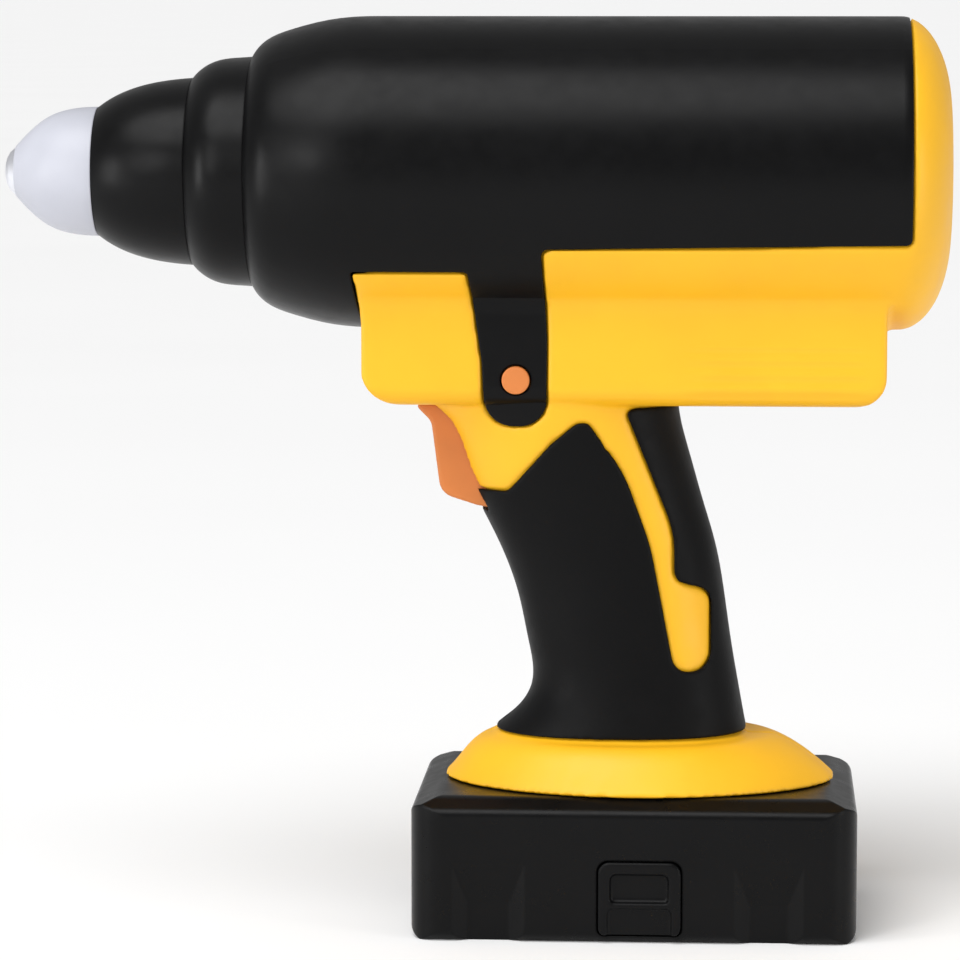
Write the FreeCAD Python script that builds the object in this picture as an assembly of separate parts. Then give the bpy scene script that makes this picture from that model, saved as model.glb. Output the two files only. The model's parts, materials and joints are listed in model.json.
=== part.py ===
import FreeCAD, Part
import math
import os
from FreeCAD import Vector

# A cordless hot glue gun. Millimetres. -X is the nozzle end, +X the back, +Z is up,
# Y = 0 is the split between the housing halves, and Z = 0 is the underside of the battery.

# ---------------------------------------------------------------- driving sizes
BARREL_R = 41.6          # outer radius of the barrel
AXIS_Z = 201.0           # height of the barrel's axis
NOSE_X = -126.5          # end of the nozzle
TAIL_X = 126.5           # flat disc at the back
COVER_FRONT = -59.2      # front face of the barrel cover
SHOULDER_R = 31.4        # radius of that face
SADDLE_END = 115.2       # where the black saddle meets the rear cap
BLOCK_FRONT = -29.1      # front face of the lower housing
BLOCK_REAR = 109.5       # rear face of the lower housing
BLOCK_BOTTOM = 140.3     # underside of the lower housing
BLOCK_HALF = 25.5        # half width of the lower housing
BLOCK_CHIN = 10.5        # rounding of its lower front corner
BLOCK_HEEL = 8.0         # rounding of its lower rear corner
BLOCK_EDGE = 5.5         # rounding of its lower long edges
WAIST_FILLET = 8.0       # hollow between the lower housing and the barrel
PRISM_SHY = 0.25         # the lower housing's section runs this far inside the barrel's skin
WALL = 2.6               # housing wall
DOME_LONG = 13.5         # rear dome, along X
DOME_R = 17.2            # radius of the flat disc inside the dome

SEAM_TURN = 37.0         # turns the closing edge of a round surface off the split, in degrees
SEAM_GAP = 0.35          # gap round a visible seam
LIP = 1.2                # lip of the yellow shell behind that seam
LIP_REACH = 1.8          # how far the lip runs past the seam
LIP_HOLD = 1.2           # how far it runs back along the yellow shell
RUN_GAP = 0.4            # gap between pieces that move past each other
PIN_FIT = 0.05           # radial gap of a pin in a turning or sliding hole

STICK_BORE = 6.1         # radius of the path for a stick of 11.2 mm
SEAM_FRONT_Z = 176.4     # cover seam ahead of the tongue
SEAM_REAR_Z = 182.6      # cover seam behind the tongue
SEAM_RISE = 1.4          # rise of that seam towards the back
SEAM_LEAN = 1.9          # forward lean of the seam over the lower housing's front face
TONGUE_BOTTOM = 134.9    # end of the cover's side tongue
OVERMOULD_PROUD = 0.8    # grip overmould above the yellow
OVERMOULD_DEEP = 1.2     # pocket that it sits in
OVERMOULD_FOOT = 51.3    # lower edge of the overmould

PIVOT_X, PIVOT_Z = 26.0, 158.0   # feed lever's pin
LEVER_LOW = 30.0         # pin to the trigger's slot
LEVER_HIGH = 26.0        # pin to the carriage's slot
LEVER_THICK = 5.0
LEVER_BOSS = 3.0         # radius of the lever's two round ends
PIVOT_R = 2.0
TRIGGER_TRAVEL = 7.0
TRIGGER_HALF = 8.8       # half width of the trigger
TRIGGER_TOP = 139.6
TRIGGER_BOTTOM = 111.4

ROD_Y = 16.0             # guide rods either side of the stick
ROD_R = 2.0
CARRIAGE_LONG = 16.0
CARRIAGE_R = 11.0
CLAMP_THICK = 2.4

CHAMBER_R = 9.5
CHAMBER_FRONT = -82.0
CHAMBER_REAR = -6.0
SUPPORT_THICK = 4.0
HEATER_THICK = 3.5
HEATER_FRONT, HEATER_REAR = -44.0, -16.0

BUTTON_X, BUTTON_Z = 12.1, 147.5
BUTTON_R = 3.7
BUTTON_TRAVEL = 1.5
SWITCH_LOW, SWITCH_HIGH = 143.6, 152.5

BATTERY_FRONT, BATTERY_REAR = -15.2, 102.7
BATTERY_HALF = 40.0
BATTERY_HIGH = 38.0
BATTERY_EAVE = 35.0      # where the sloping margin of the top meets the side
BATTERY_MARGIN = 5.5     # width of that margin at the sides
BATTERY_END = 7.5        # and at the ends
BASE_INSET = 7.5         # base plate inside the case's outline
BASE_PAD = 4.2           # height of the base plate's screw pads
BATTERY_WALL = 2.6
BATTERY_SIDE = 4.6       # thicker wall behind the side recesses
BATTERY_CORNER = 9.0
STEM_FRONT, STEM_REAR = 28.0, 58.0
STEM_HALF = 12.0
STEM_TOP = 78.0
STEM_WALL = 2.2
STEM_CORNER = 4.0
CELL_R, CELL_LONG = 9.2, 65.0
CELL_Z = 14.0
CELL_X = (0.8, 19.4, 68.1, 86.7)
LATCH_FRONT, LATCH_REAR = 34.6, 56.4
LATCH_LOW, LATCH_TOP = 2.2, 21.8
LATCH_GAP = 0.3
RECESSES = ((-3.8, 15.0), (70.6, 88.4))   # side recesses: front, rear
RECESS_TOP = 23.0
RECESS_DEEP = 3.0
RECESS_SLOPE = 4.0
LATCH_THICK = 2.6
LATCH_PROUD = 0.8
LATCH_TRAVEL = 2.5

SCREW_R = 1.5
SCREW_HEAD_R = 3.0
SCREW_HEAD = 2.4
SCREW_SEAT = 10.0        # Y of every housing screw's seat
SCREW_DEEP = 10.0        # how far it reaches past the split
BOSS_R = 3.6
HOUSING_SCREWS = ((-21.0, 149.0), (38.0, 150.0), (101.0, 149.0), (106.0, 177.5),
                  (52.0, 113.0), (27.0, 99.0), (63.0, 61.0))

BOARD_FRONT, BOARD_REAR = 46.0, 94.0
BOARD_HALF = 17.0
BOARD_Z = 146.0
BOARD_THICK = 1.6
LEAD_R = 0.9

# Grip: height, front, rear, half width
GRIP = ((48.0, 4.0, 73.6, 23.5), (55.2, 11.0, 71.8, 21.6), (64.0, 16.3, 70.2, 20.4),
        (75.0, 15.2, 68.3, 19.8), (88.0, 12.4, 66.4, 19.5), (101.0, 7.6, 64.0, 19.5),
        (114.0, 1.0, 60.2, 20.0), (121.0, -2.4, 58.2, 20.6), (128.0, -4.8, 56.2, 21.3),
        (136.0, -8.8, 54.2, 22.3), (145.5, -17.5, 52.2, 23.4))
# Foot collar: height, middle, half length, half width
COLLAR = ((38.0, 44.6, 53.5, 37.0), (43.6, 44.0, 47.8, 33.4), (47.2, 43.0, 43.6, 30.8),
          (50.1, 42.4, 37.8, 26.9))
# Barrel shoulder from the front face to the full radius: x, radius
SHOULDER = ((COVER_FRONT, SHOULDER_R), (-56.6, 34.6), (-48.5, 38.3), (-38.0, 40.8),
            (-27.0, BARREL_R))


# ---------------------------------------------------------------- helpers
def at_xz(y):
    return lambda p: Vector(p.x, y, p.y)


def at_xy(z):
    return lambda p: Vector(p.x, p.y, z)


def at_yz(x):
    return lambda p: Vector(x, p.x, p.y)


def rounded_wire(corners, place):
    """Closed wire through (u, v, radius) corners, each rounded by its radius."""
    bends = []
    for i, (u, v, radius) in enumerate(corners):
        here = Vector(u, v, 0)
        back = Vector(corners[i - 1][0], corners[i - 1][1], 0) - here
        ahead_corner = corners[(i + 1) % len(corners)]
        ahead = Vector(ahead_corner[0], ahead_corner[1], 0) - here
        back.normalize()
        ahead.normalize()
        half = back.getAngle(ahead) / 2
        if radius > 0:
            reach = radius / math.tan(half)
            middle = (back + ahead).normalize() * (radius / math.sin(half) - radius)
            bends.append((here + back * reach, here + middle, here + ahead * reach, True))
        else:
            bends.append((here, here, here, False))
    edges = []
    for i, (start, middle, end, is_round) in enumerate(bends):
        if is_round:
            edges.append(Part.Arc(place(start), place(middle), place(end)).toShape())
        following = bends[(i + 1) % len(bends)][0]
        if (following - end).Length > 1e-6:
            edges.append(Part.makeLine(place(end), place(following)))
    return Part.Wire(edges)


def prism_xz(corners, y0, y1):
    return Part.Face(rounded_wire(corners, at_xz(y0))).extrude(Vector(0, y1 - y0, 0))


def prism_yz(corners, x0, x1):
    return Part.Face(rounded_wire(corners, at_yz(x0))).extrude(Vector(x1 - x0, 0, 0))


def prism_xy(corners, z0, z1):
    return Part.Face(rounded_wire(corners, at_xy(z0))).extrude(Vector(0, 0, z1 - z0))


def rounded_box(x0, x1, y_half, z0, z1, radius):
    """Upright block, its four vertical edges rounded."""
    corners = ((x0, -y_half, radius), (x1, -y_half, radius), (x1, y_half, radius), (x0, y_half, radius))
    return prism_xy(corners, z0, z1)


def box(x0, x1, y0, y1, z0, z1):
    return Part.makeBox(x1 - x0, y1 - y0, z1 - z0, Vector(x0, y0, z0))


def rod_x(radius, x0, x1, y=0.0, z=AXIS_Z):
    return Part.makeCylinder(radius, x1 - x0, Vector(x0, y, z), Vector(1, 0, 0))


def rod_y(radius, x, z, y0, y1):
    return Part.makeCylinder(radius, y1 - y0, Vector(x, y0, z), Vector(0, 1, 0))


def rod_z(radius, x, y, z0, z1):
    return Part.makeCylinder(radius, z1 - z0, Vector(x, y, z0), Vector(0, 0, 1))


def turned(points):
    """Solid of revolution about the barrel's axis from a closed (x, radius) outline."""
    wire = rounded_wire([(x, AXIS_Z + r, 0) for x, r in points], at_xz(0))
    return Part.Face(wire).revolve(Vector(0, 0, AXIS_Z), Vector(1, 0, 0), 360)


def turned_edges(edges):
    return Part.Face(Part.Wire(edges)).revolve(Vector(0, 0, AXIS_Z), Vector(1, 0, 0), 360)


def smooth_edge(points):
    """Smooth curve through (x, radius) points in the axial plane."""
    curve = Part.BSplineCurve()
    curve.interpolate([Vector(x, 0, AXIS_Z + r) for x, r in points])
    return curve.toShape()


def axial_line(start, end):
    return Part.makeLine(Vector(start[0], 0, AXIS_Z + start[1]), Vector(end[0], 0, AXIS_Z + end[1]))


def moved_in(points, inset):
    """Points of an (x, radius) curve moved by inset at right angles to the curve."""
    result = []
    for i, (x, r) in enumerate(points):
        before = points[max(i - 1, 0)]
        after = points[min(i + 1, len(points) - 1)]
        along = Vector(after[0] - before[0], after[1] - before[1], 0).normalize()
        result.append((x + along.y * inset, r - along.x * inset))
    return result


def joined(shapes):
    shapes = list(shapes)
    result = shapes[0]
    for shape in shapes[1:]:
        result = result.fuse(shape)
    return result.removeSplitter()


def path_wire(points, bend):
    """Open wire through 3-D points, each corner rounded by the radius bend."""
    edges = []
    last = points[0]
    for i in range(1, len(points) - 1):
        here = points[i]
        back = (points[i - 1] - here).normalize()
        ahead = (points[i + 1] - here).normalize()
        half = back.getAngle(ahead) / 2
        reach = bend / math.tan(half)
        middle = here + (back + ahead).normalize() * (bend / math.sin(half) - bend)
        edges.append(Part.makeLine(last, here + back * reach))
        edges.append(Part.Arc(here + back * reach, middle, here + ahead * reach).toShape())
        last = here + ahead * reach
    edges.append(Part.makeLine(last, points[-1]))
    return Part.Wire(edges)


def lead(points, bend=3.0, radius=LEAD_R):
    points = [Vector(*p) for p in points]
    ring = Part.Wire(Part.makeCircle(radius, points[0], points[1] - points[0]))
    return path_wire(points, bend).makePipeShell([ring], True, False)


def coil(start, direction, length, mean_r, wire_r, turns):
    """Coil spring from start along direction."""
    helix = Part.makeHelix((length - 2 * wire_r) / turns, length - 2 * wire_r, mean_r)
    ring = Part.Wire(Part.makeCircle(wire_r, Vector(mean_r, 0, 0), Vector(0, 1, 0)))
    shape = Part.Wire(helix).makePipeShell([ring], True, True)
    turn = FreeCAD.Rotation(Vector(0, 0, 1), direction)
    shape.Placement = FreeCAD.Placement(start + direction * wire_r, turn)
    return shape


# ---------------------------------------------------------------- outer form
def body_prism(inset):
    """Barrel and lower housing in one section, drawn out along X."""
    r = BARREL_R - PRISM_SHY - inset
    half = BLOCK_HALF - inset
    fillet = WAIST_FILLET + inset
    bottom = BLOCK_BOTTOM + inset
    corner = BLOCK_EDGE - inset
    drop = math.sqrt((r + fillet) ** 2 - (half + fillet) ** 2)
    centre = Vector(half + fillet, AXIS_Z - drop, 0)
    touch = Vector(half + fillet, -drop, 0) * (r / (r + fillet)) + Vector(0, AXIS_Z, 0)
    side = Vector(half, centre.y, 0)
    bow = ((touch - centre).normalize() + (side - centre).normalize()).normalize()
    bend = centre + bow * fillet
    low = Vector(half, bottom + corner, 0)
    under = Vector(half - corner, bottom, 0)
    round_off = Vector(half - corner + corner * math.sqrt(0.5), bottom + corner - corner * math.sqrt(0.5), 0)
    place = at_yz(BLOCK_FRONT + inset)

    def flip(p):
        return Vector(-p.x, p.y, 0)

    edges = [
        Part.Arc(place(flip(touch)), place(Vector(0, AXIS_Z + r, 0)), place(touch)).toShape(),
        Part.Arc(place(touch), place(bend), place(side)).toShape(),
        Part.makeLine(place(side), place(low)),
        Part.Arc(place(low), place(round_off), place(under)).toShape(),
        Part.makeLine(place(under), place(flip(under))),
        Part.Arc(place(flip(under)), place(flip(round_off)), place(flip(low))).toShape(),
        Part.makeLine(place(flip(low)), place(flip(side))),
        Part.Arc(place(flip(side)), place(flip(bend)), place(flip(touch))).toShape(),
    ]
    length = BLOCK_REAR - BLOCK_FRONT - 2 * inset
    solid = Part.Face(Part.Wire(edges)).extrude(Vector(length, 0, 0))
    top = AXIS_Z + BARREL_R + 10
    trim = prism_xz(((BLOCK_FRONT + inset, bottom, BLOCK_CHIN - inset),
                     (BLOCK_REAR - inset, bottom, BLOCK_HEEL - inset),
                     (BLOCK_REAR - inset, top, 0), (BLOCK_FRONT + inset, top, 0)), -60, 60)
    return solid.common(trim)


def barrel(inset):
    shoulder = moved_in(SHOULDER, inset)
    front = COVER_FRONT + inset
    shoulder[0] = (front, shoulder[0][1])
    dome_x = TAIL_X - DOME_LONG
    r = BARREL_R - inset
    end = TAIL_X - inset
    turns = [math.radians(15 * i) for i in range(7)]
    dome = smooth_edge([
        (dome_x + (end - dome_x) * math.sin(turn), DOME_R + (r - DOME_R) * math.cos(turn)) for turn in turns])
    solid = turned_edges([
        axial_line((front, 0), shoulder[0]), smooth_edge(shoulder), axial_line(shoulder[-1], (dome_x, r)),
        dome, axial_line((end, DOME_R), (end, 0)), axial_line((end, 0), (front, 0))])
    solid.rotate(Vector(0, 0, AXIS_Z), Vector(1, 0, 0), SEAM_TURN)
    return solid


def oval(z, middle, half_x, half_y, power):
    """Closed smooth curve between an ellipse and a rectangle."""
    points = []
    for i in range(24):
        turn = 2 * math.pi * i / 24 + math.radians(SEAM_TURN)
        c, s = math.cos(turn), math.sin(turn)
        points.append(Vector(middle + half_x * math.copysign(abs(c) ** (2 / power), c),
                             half_y * math.copysign(abs(s) ** (2 / power), s), z))
    curve = Part.BSplineCurve()
    curve.interpolate(Points=points, PeriodicFlag=True)
    return Part.Wire(curve.toShape())


def grip(inset):
    wires = [oval(z, (front + rear) / 2, (rear - front) / 2 - inset, half - inset, 2.3)
             for z, front, rear, half in GRIP]
    return Part.makeLoft(wires, True, False)


def collar(inset):
    return Part.makeLoft([oval(z, middle, a - inset, b - inset, 2.0) for z, middle, a, b in COLLAR], True, False)


def cover_region(grow):
    """Everything that is black on the barrel, seen from the side."""
    far = AXIS_Z + BARREL_R + 10
    corners = ((COVER_FRONT - 5, far, 0), (COVER_FRONT - 5, BLOCK_BOTTOM, 0), (BLOCK_FRONT, BLOCK_BOTTOM, 0),
               (BLOCK_FRONT, 162.0, 6.0), (BLOCK_FRONT - SEAM_LEAN, SEAM_FRONT_Z, 1.0),
               (-0.2, SEAM_FRONT_Z, 1.5), (3.2, 152.0, 20.0), (4.0, TONGUE_BOTTOM, 7.2),
               (20.0, TONGUE_BOTTOM, 7.2), (20.3, 158.0, 30.0), (19.1, SEAM_REAR_Z, 2.0),
               (SADDLE_END, SEAM_REAR_Z + SEAM_RISE, 1.5), (SADDLE_END, far, 0))
    face = Part.Face(rounded_wire(corners, at_xz(-70)))
    if grow:
        face = face.makeOffset2D(grow)
    return face.extrude(Vector(0, 140, 0))


def strip_region(grow):
    """Yellow strip between the black panels of the grip, seen from the side."""
    corners = ((27.5, 141.0, 0), (40.5, 122.5, 40), (47.6, 103.0, 60), (54.2, 69.0, 4.5), (63.6, 69.0, 5.0),
               (63.6, 90.2, 4.5), (53.9, 93.4, 3.5), (53.9, 106.0, 30), (40.0, 141.0, 0))
    face = Part.Face(rounded_wire(corners, at_xz(-60)))
    if grow:
        face = face.makeOffset2D(grow)
    return face.extrude(Vector(0, 120, 0))


def panel_region(inset):
    """Outer limits of the grip's black panels, seen from the side."""
    top = BLOCK_BOTTOM - 0.8 - inset
    corners = ((-30, 117.0 - inset, 0), (9.5, 117.0 - inset, 3.0), (21.0, 130.0 - inset, 12.0),
               (31.0, top - 1.2, 4.0), (36.5, 127.0, 1.0), (42.0, top, 2.0),
               (90, top, 0), (90, OVERMOULD_FOOT + inset, 0), (-30, OVERMOULD_FOOT + inset, 0))
    return prism_xz(corners, -60, 60)


def stem_block(grow, z0, z1):
    return rounded_box(STEM_FRONT - grow, STEM_REAR + grow, STEM_HALF + grow, z0, z1, STEM_CORNER + grow)


LEFT = box(-140, 140, -70, 0, -10, 260)
RIGHT = box(-140, 140, 0, 70, -10, 260)

outer_grip = grip(0)
outer = joined([body_prism(0), barrel(0), outer_grip, collar(0)])
inner_grip = grip(WALL).common(box(-60, 90, -40, 40, 54.0, 150))
inner = joined([body_prism(WALL), barrel(WALL), inner_grip])

# ---------------------------------------------------------------- housing
collar_hollow = collar(WALL).common(box(-60, 130, -60, 60, COLLAR[0][0] - 1, 47.0))
collar_hollow = collar_hollow.cut(stem_block(RUN_GAP + WALL, 30, 60))
stem_well = stem_block(RUN_GAP, COLLAR[0][0] - 1, STEM_TOP + 1)
near_outer = joined([body_prism(1.0), barrel(1.0), grip(OVERMOULD_DEEP + 0.3), collar(1.0)])

shelf_z = TRIGGER_BOTTOM + 1.4 - RUN_GAP
finger_end = 6.0
opening_end = finger_end + TRIGGER_TRAVEL + 0.5
ribs = [
    box(opening_end, 39, -30, 30, shelf_z - 3, shelf_z),            # trigger runs on this shelf
    box(36, 39, -30, 30, shelf_z - 3, 122.8),                       # trigger spring's back stop
    box(10, 68, -30, 30, 92.0, 95.0),                               # terminal block hangs here
    box(5, 30, -30, -5, BLOCK_BOTTOM + 0.6, BLOCK_BOTTOM + WALL),   # shelf of the power switch
    box(5, 30, -15, -5, BLOCK_BOTTOM + 0.6, SWITCH_LOW),            # its raised pad
    stem_block(RUN_GAP + WALL, 50, 66),
]
for x in (BOARD_FRONT + 4, BOARD_REAR - 4):
    for y in (-BOARD_HALF + 4, BOARD_HALF - 4):
        ribs.append(rod_z(2.5, x, y, BLOCK_BOTTOM + 1, BOARD_Z))
for side in (-1, 1):
    ribs.append(rod_y(4.8, PIVOT_X, PIVOT_Z, min(5 * side, 30 * side), max(5 * side, 30 * side)))
bosses = [rod_y(BOSS_R, x, z, -60, 60) for x, z in HOUSING_SCREWS]
inside = joined(ribs + bosses).common(near_outer)

shell = outer.cut(inner).fuse(inside).cut(collar_hollow).cut(stem_well)
opening = box(-30, opening_end, -TRIGGER_HALF - RUN_GAP, TRIGGER_HALF + RUN_GAP,
              TRIGGER_BOTTOM - RUN_GAP, BLOCK_BOTTOM)
port_hole = rod_x(11.0, TAIL_X - 20, TAIL_X + 5)
guard_hole = rod_x(28.0, COVER_FRONT - 5, COVER_FRONT + WALL + 1)
lead_hole = box(40, 47, -9, 9, 90, 97)
shell = shell.cut(joined([opening, port_hole, guard_hole, lead_hole]))
shell = shell.cut(rod_y(PIVOT_R, PIVOT_X, PIVOT_Z, -21, 21))
for x, z in HOUSING_SCREWS:
    shell = shell.cut(rod_y(SCREW_R, x, z, -SCREW_DEEP - 1, 0))
    shell = shell.cut(rod_y(SCREW_R + 0.2, x, z, 0, SCREW_SEAT))
    shell = shell.cut(rod_y(SCREW_HEAD_R + 0.2, x, z, SCREW_SEAT, 60))

overmould = grip(-OVERMOULD_PROUD).cut(grip(OVERMOULD_DEEP)).common(panel_region(0))
overmould = overmould.cut(strip_region(0)).cut(opening)
pocket = grip(-5).cut(grip(OVERMOULD_DEEP)).common(panel_region(-SEAM_GAP)).cut(strip_region(-SEAM_GAP))
for x, z in HOUSING_SCREWS:
    overmould = overmould.cut(rod_y(SCREW_HEAD_R + 0.2, x, z, SCREW_SEAT, 60))

cover_shell = outer.cut(inner).cut(guard_hole)
barrel_cover = cover_shell.common(cover_region(0))
barrel_cover = barrel_cover.cut(rod_y(BUTTON_R + RUN_GAP, BUTTON_X, BUTTON_Z, -60, 0))
upper_inner = joined([body_prism(WALL), barrel(WALL)])
yellow = shell.cut(cover_region(SEAM_GAP).common(outer.cut(upper_inner))).cut(pocket)

lip_band = cover_region(SEAM_GAP + LIP_HOLD).cut(cover_region(-LIP_REACH))
lip_band = lip_band.common(box(BLOCK_FRONT + WALL + 1, SADDLE_END + 6, -60, 60, TONGUE_BOTTOM - 4, 260))
past_lip = joined([body_prism(WALL + LIP), barrel(WALL + LIP), grip(WALL + LIP)])
lip = inner.cut(past_lip).common(lip_band).cut(opening)
yellow = yellow.fuse(lip)

NODES = {}
NODES["left_housing"] = yellow.common(LEFT)
NODES["right_housing"] = yellow.common(RIGHT)
NODES["barrel_cover"] = barrel_cover
NODES["left_grip_overmould"] = overmould.common(LEFT)
NODES["right_grip_overmould"] = overmould.common(RIGHT)

screws = []
for x, z in HOUSING_SCREWS:
    shank = rod_y(SCREW_R, x, z, -SCREW_DEEP, SCREW_SEAT)
    head = rod_y(SCREW_HEAD_R, x, z, SCREW_SEAT, SCREW_SEAT + SCREW_HEAD)
    socket = rod_y(1.2, x, z, SCREW_SEAT + 1, SCREW_SEAT + SCREW_HEAD)
    screws.append(shank.fuse(head).cut(socket).removeSplitter())
NODES["housing_screws"] = Part.makeCompound(screws)


def drop_crumbs(shape):
    """Only the largest solid: the split can leave slivers behind."""
    return max(shape.Solids, key=lambda solid: solid.Volume)


for name in ("left_housing", "right_housing", "barrel_cover", "left_grip_overmould", "right_grip_overmould"):
    NODES[name] = drop_crumbs(NODES[name])

# ---------------------------------------------------------------- nozzle end
CAP_FRONT = -123.6
GUARD_FRONT = -101.4
RING_FRONT = -75.6
NECK_R = 24.0
NOZZLE_R = 5.0
SPIGOT_R = 15.0

cap_curve = smooth_edge(((CAP_FRONT, 7.0), (-118.6, 12.0), (-114.2, 15.0), (-109.8, 16.5), (GUARD_FRONT, 17.3)))
nozzle_cap = turned_edges([
    axial_line((CAP_FRONT, NOZZLE_R), (CAP_FRONT, 7.0)), cap_curve,
    axial_line((GUARD_FRONT, 17.3), (GUARD_FRONT, SPIGOT_R)),
    axial_line((GUARD_FRONT, SPIGOT_R), (-97.0, SPIGOT_R)),
    axial_line((-97.0, SPIGOT_R), (-97.0, NOZZLE_R)), axial_line((-97.0, NOZZLE_R), (CAP_FRONT, NOZZLE_R))])
NODES["nozzle_cap"] = nozzle_cap

guard_points = ((GUARD_FRONT, 17.2), (-93.0, 21.9), (-84.0, 24.2), (RING_FRONT, 25.1))
guard_inside = moved_in(guard_points, 2.2)
guard_back = COVER_FRONT + WALL
nozzle_guard = turned_edges([
    smooth_edge(guard_points), axial_line(guard_points[-1], (RING_FRONT, NECK_R)),
    axial_line((RING_FRONT, NECK_R), (guard_back, NECK_R)),
    axial_line((guard_back, NECK_R), (guard_back, NECK_R - 2.2)),
    axial_line((guard_back, NECK_R - 2.2), guard_inside[-1]), smooth_edge(guard_inside),
    axial_line(guard_inside[0], (guard_inside[0][0], SPIGOT_R)),
    axial_line((guard_inside[0][0], SPIGOT_R), (GUARD_FRONT, SPIGOT_R)),
    axial_line((GUARD_FRONT, SPIGOT_R), guard_points[0])])
NODES["nozzle_guard"] = nozzle_guard

ring_points = ((RING_FRONT, 25.2), (-73.2, 27.6), (-69.4, 29.6), (-65.0, 30.4), (COVER_FRONT, 30.8))
NODES["step_ring"] = turned_edges([
    smooth_edge(ring_points), axial_line(ring_points[-1], (COVER_FRONT, 28.0)),
    axial_line((COVER_FRONT, 28.0), (guard_back, 28.0)), axial_line((guard_back, 28.0), (guard_back, NECK_R)),
    axial_line((guard_back, NECK_R), (RING_FRONT, NECK_R)), axial_line((RING_FRONT, NECK_R), ring_points[0])])

socket_end = CHAMBER_FRONT + 10
NODES["nozzle"] = turned((
    (NOSE_X, 1.0), (NOSE_X, 2.4), (NOSE_X + 0.4, 3.8), (NOSE_X + 1.2, 5.2), (CAP_FRONT, 6.7),
    (CAP_FRONT, NOZZLE_R), (-92.0, NOZZLE_R), (-92.0, 8.0),
    (CHAMBER_FRONT, 8.0), (CHAMBER_FRONT, 7.0), (socket_end, 7.0), (socket_end, 4.5), (-95.0, 2.5),
    (NOSE_X + 4, 2.5), (NOSE_X + 3, 1.0)))

bore = STICK_BORE - 0.2
chamber = turned((
    (CHAMBER_FRONT, 7.0), (CHAMBER_FRONT, CHAMBER_R), (guard_back + SUPPORT_THICK, CHAMBER_R),
    (guard_back + SUPPORT_THICK, 13.0), (guard_back + SUPPORT_THICK + 3, 13.0),
    (guard_back + SUPPORT_THICK + 3, CHAMBER_R), (CHAMBER_REAR, CHAMBER_R), (CHAMBER_REAR, bore),
    (socket_end, bore), (socket_end, 7.0)))
saddle_z = AXIS_Z - 13.0
saddle = box(HEATER_FRONT, HEATER_REAR, -7.5, 7.5, saddle_z, AXIS_Z - 7.0).cut(rod_x(bore, -90, 0))
NODES["melt_chamber"] = chamber.fuse(saddle).removeSplitter()
NODES["ptc_heater"] = box(HEATER_FRONT, HEATER_REAR, -7.0, 7.0, saddle_z - HEATER_THICK, saddle_z)
clip_bottom = saddle_z - HEATER_THICK
clip = box(-40, -20, -11, 11, clip_bottom - 1.2, AXIS_Z - 2)
NODES["heater_clip"] = clip.cut(box(-41, -19, -9.8, 9.8, clip_bottom, AXIS_Z))
NODES["thermal_fuse"] = box(-36, -26, 11, 14.5, AXIS_Z - 12, AXIS_Z - 8)

support = rod_x(29.6, guard_back, guard_back + SUPPORT_THICK).cut(rod_x(CHAMBER_R, -90, 0))
for i in range(6):
    turn = math.pi * (i + 0.5) / 3
    y, z = 19 * math.sin(turn), 19 * math.cos(turn)
    support = support.cut(rod_x(5.0, -90, 0, y, AXIS_Z + z))
NODES["nose_support"] = support

LEAD_Y, LEAD_Z = 26.0, 184.0
rear_support = rod_x(BARREL_R - WALL, CHAMBER_REAR - SUPPORT_THICK, CHAMBER_REAR).cut(rod_x(CHAMBER_R, -90, 0))
rear_support = rear_support.common(box(-60, 60, -60, 60, AXIS_Z - 31, AXIS_Z + 60))
for side in (-1, 1):
    rear_support = rear_support.cut(rod_x(ROD_R, -90, 0, side * ROD_Y))
    rear_support = rear_support.cut(rod_x(2.4, -90, 0, side * LEAD_Y, LEAD_Z))
    rear_support = rear_support.cut(rod_x(7.0, -90, 0, side * 21, AXIS_Z + 17))
NODES["rear_support"] = rear_support.cut(lip)
NODES["inlet_sleeve"] = rod_x(CHAMBER_R - 0.5, CHAMBER_REAR, 2.0).cut(rod_x(STICK_BORE, -90, 10))

# ---------------------------------------------------------------- feed
ROD_END = 64.0
NODES["guide_rods"] = Part.makeCompound([
    rod_x(ROD_R, CHAMBER_REAR - SUPPORT_THICK, ROD_END, side * ROD_Y) for side in (-1, 1)])

lever_top_z = PIVOT_Z + LEVER_HIGH
lever_low_z = PIVOT_Z - LEVER_LOW
half_long = CARRIAGE_LONG / 2
car0, car1 = PIVOT_X - half_long, PIVOT_X + half_long
ears = box(car0 + 2, car1 - 2, -ROD_Y - 5, ROD_Y + 5, AXIS_Z - 4.5, AXIS_Z + 4.5)
lug = box(car0, car1, -7, 7, lever_top_z - 4.4, AXIS_Z - 6)
clamp_x = car0 - 3.4
clamp_z = AXIS_Z - 14.0
cheeks = box(clamp_x - 2.8, car0, -7.5, 7.5, clamp_z - 3.0, clamp_z + 2.6)
cheeks = cheeks.cut(box(clamp_x - 4, car0 - 0.2, -5, 5, clamp_z - 4, clamp_z + 4))
carriage = joined([rod_x(CARRIAGE_R, car0, car1), ears, lug, cheeks]).cut(rod_x(STICK_BORE + 0.6, 0, 60))
slot_half = LEVER_BOSS + 0.3
carriage = carriage.cut(box(PIVOT_X - slot_half, PIVOT_X + slot_half, -LEVER_THICK / 2 - RUN_GAP,
                            LEVER_THICK / 2 + RUN_GAP, lever_top_z - 5, lever_top_z + slot_half + 0.4))
for side in (-1, 1):
    carriage = carriage.cut(rod_x(ROD_R + PIN_FIT, 0, 60, side * ROD_Y))
CLAMP_PIN_R = 1.5
carriage = carriage.cut(rod_y(CLAMP_PIN_R, clamp_x, clamp_z, -10, 10))
NODES["carriage"] = carriage
NODES["clamp_pin"] = rod_y(CLAMP_PIN_R, clamp_x, clamp_z, -7.5, 7.5)
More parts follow.
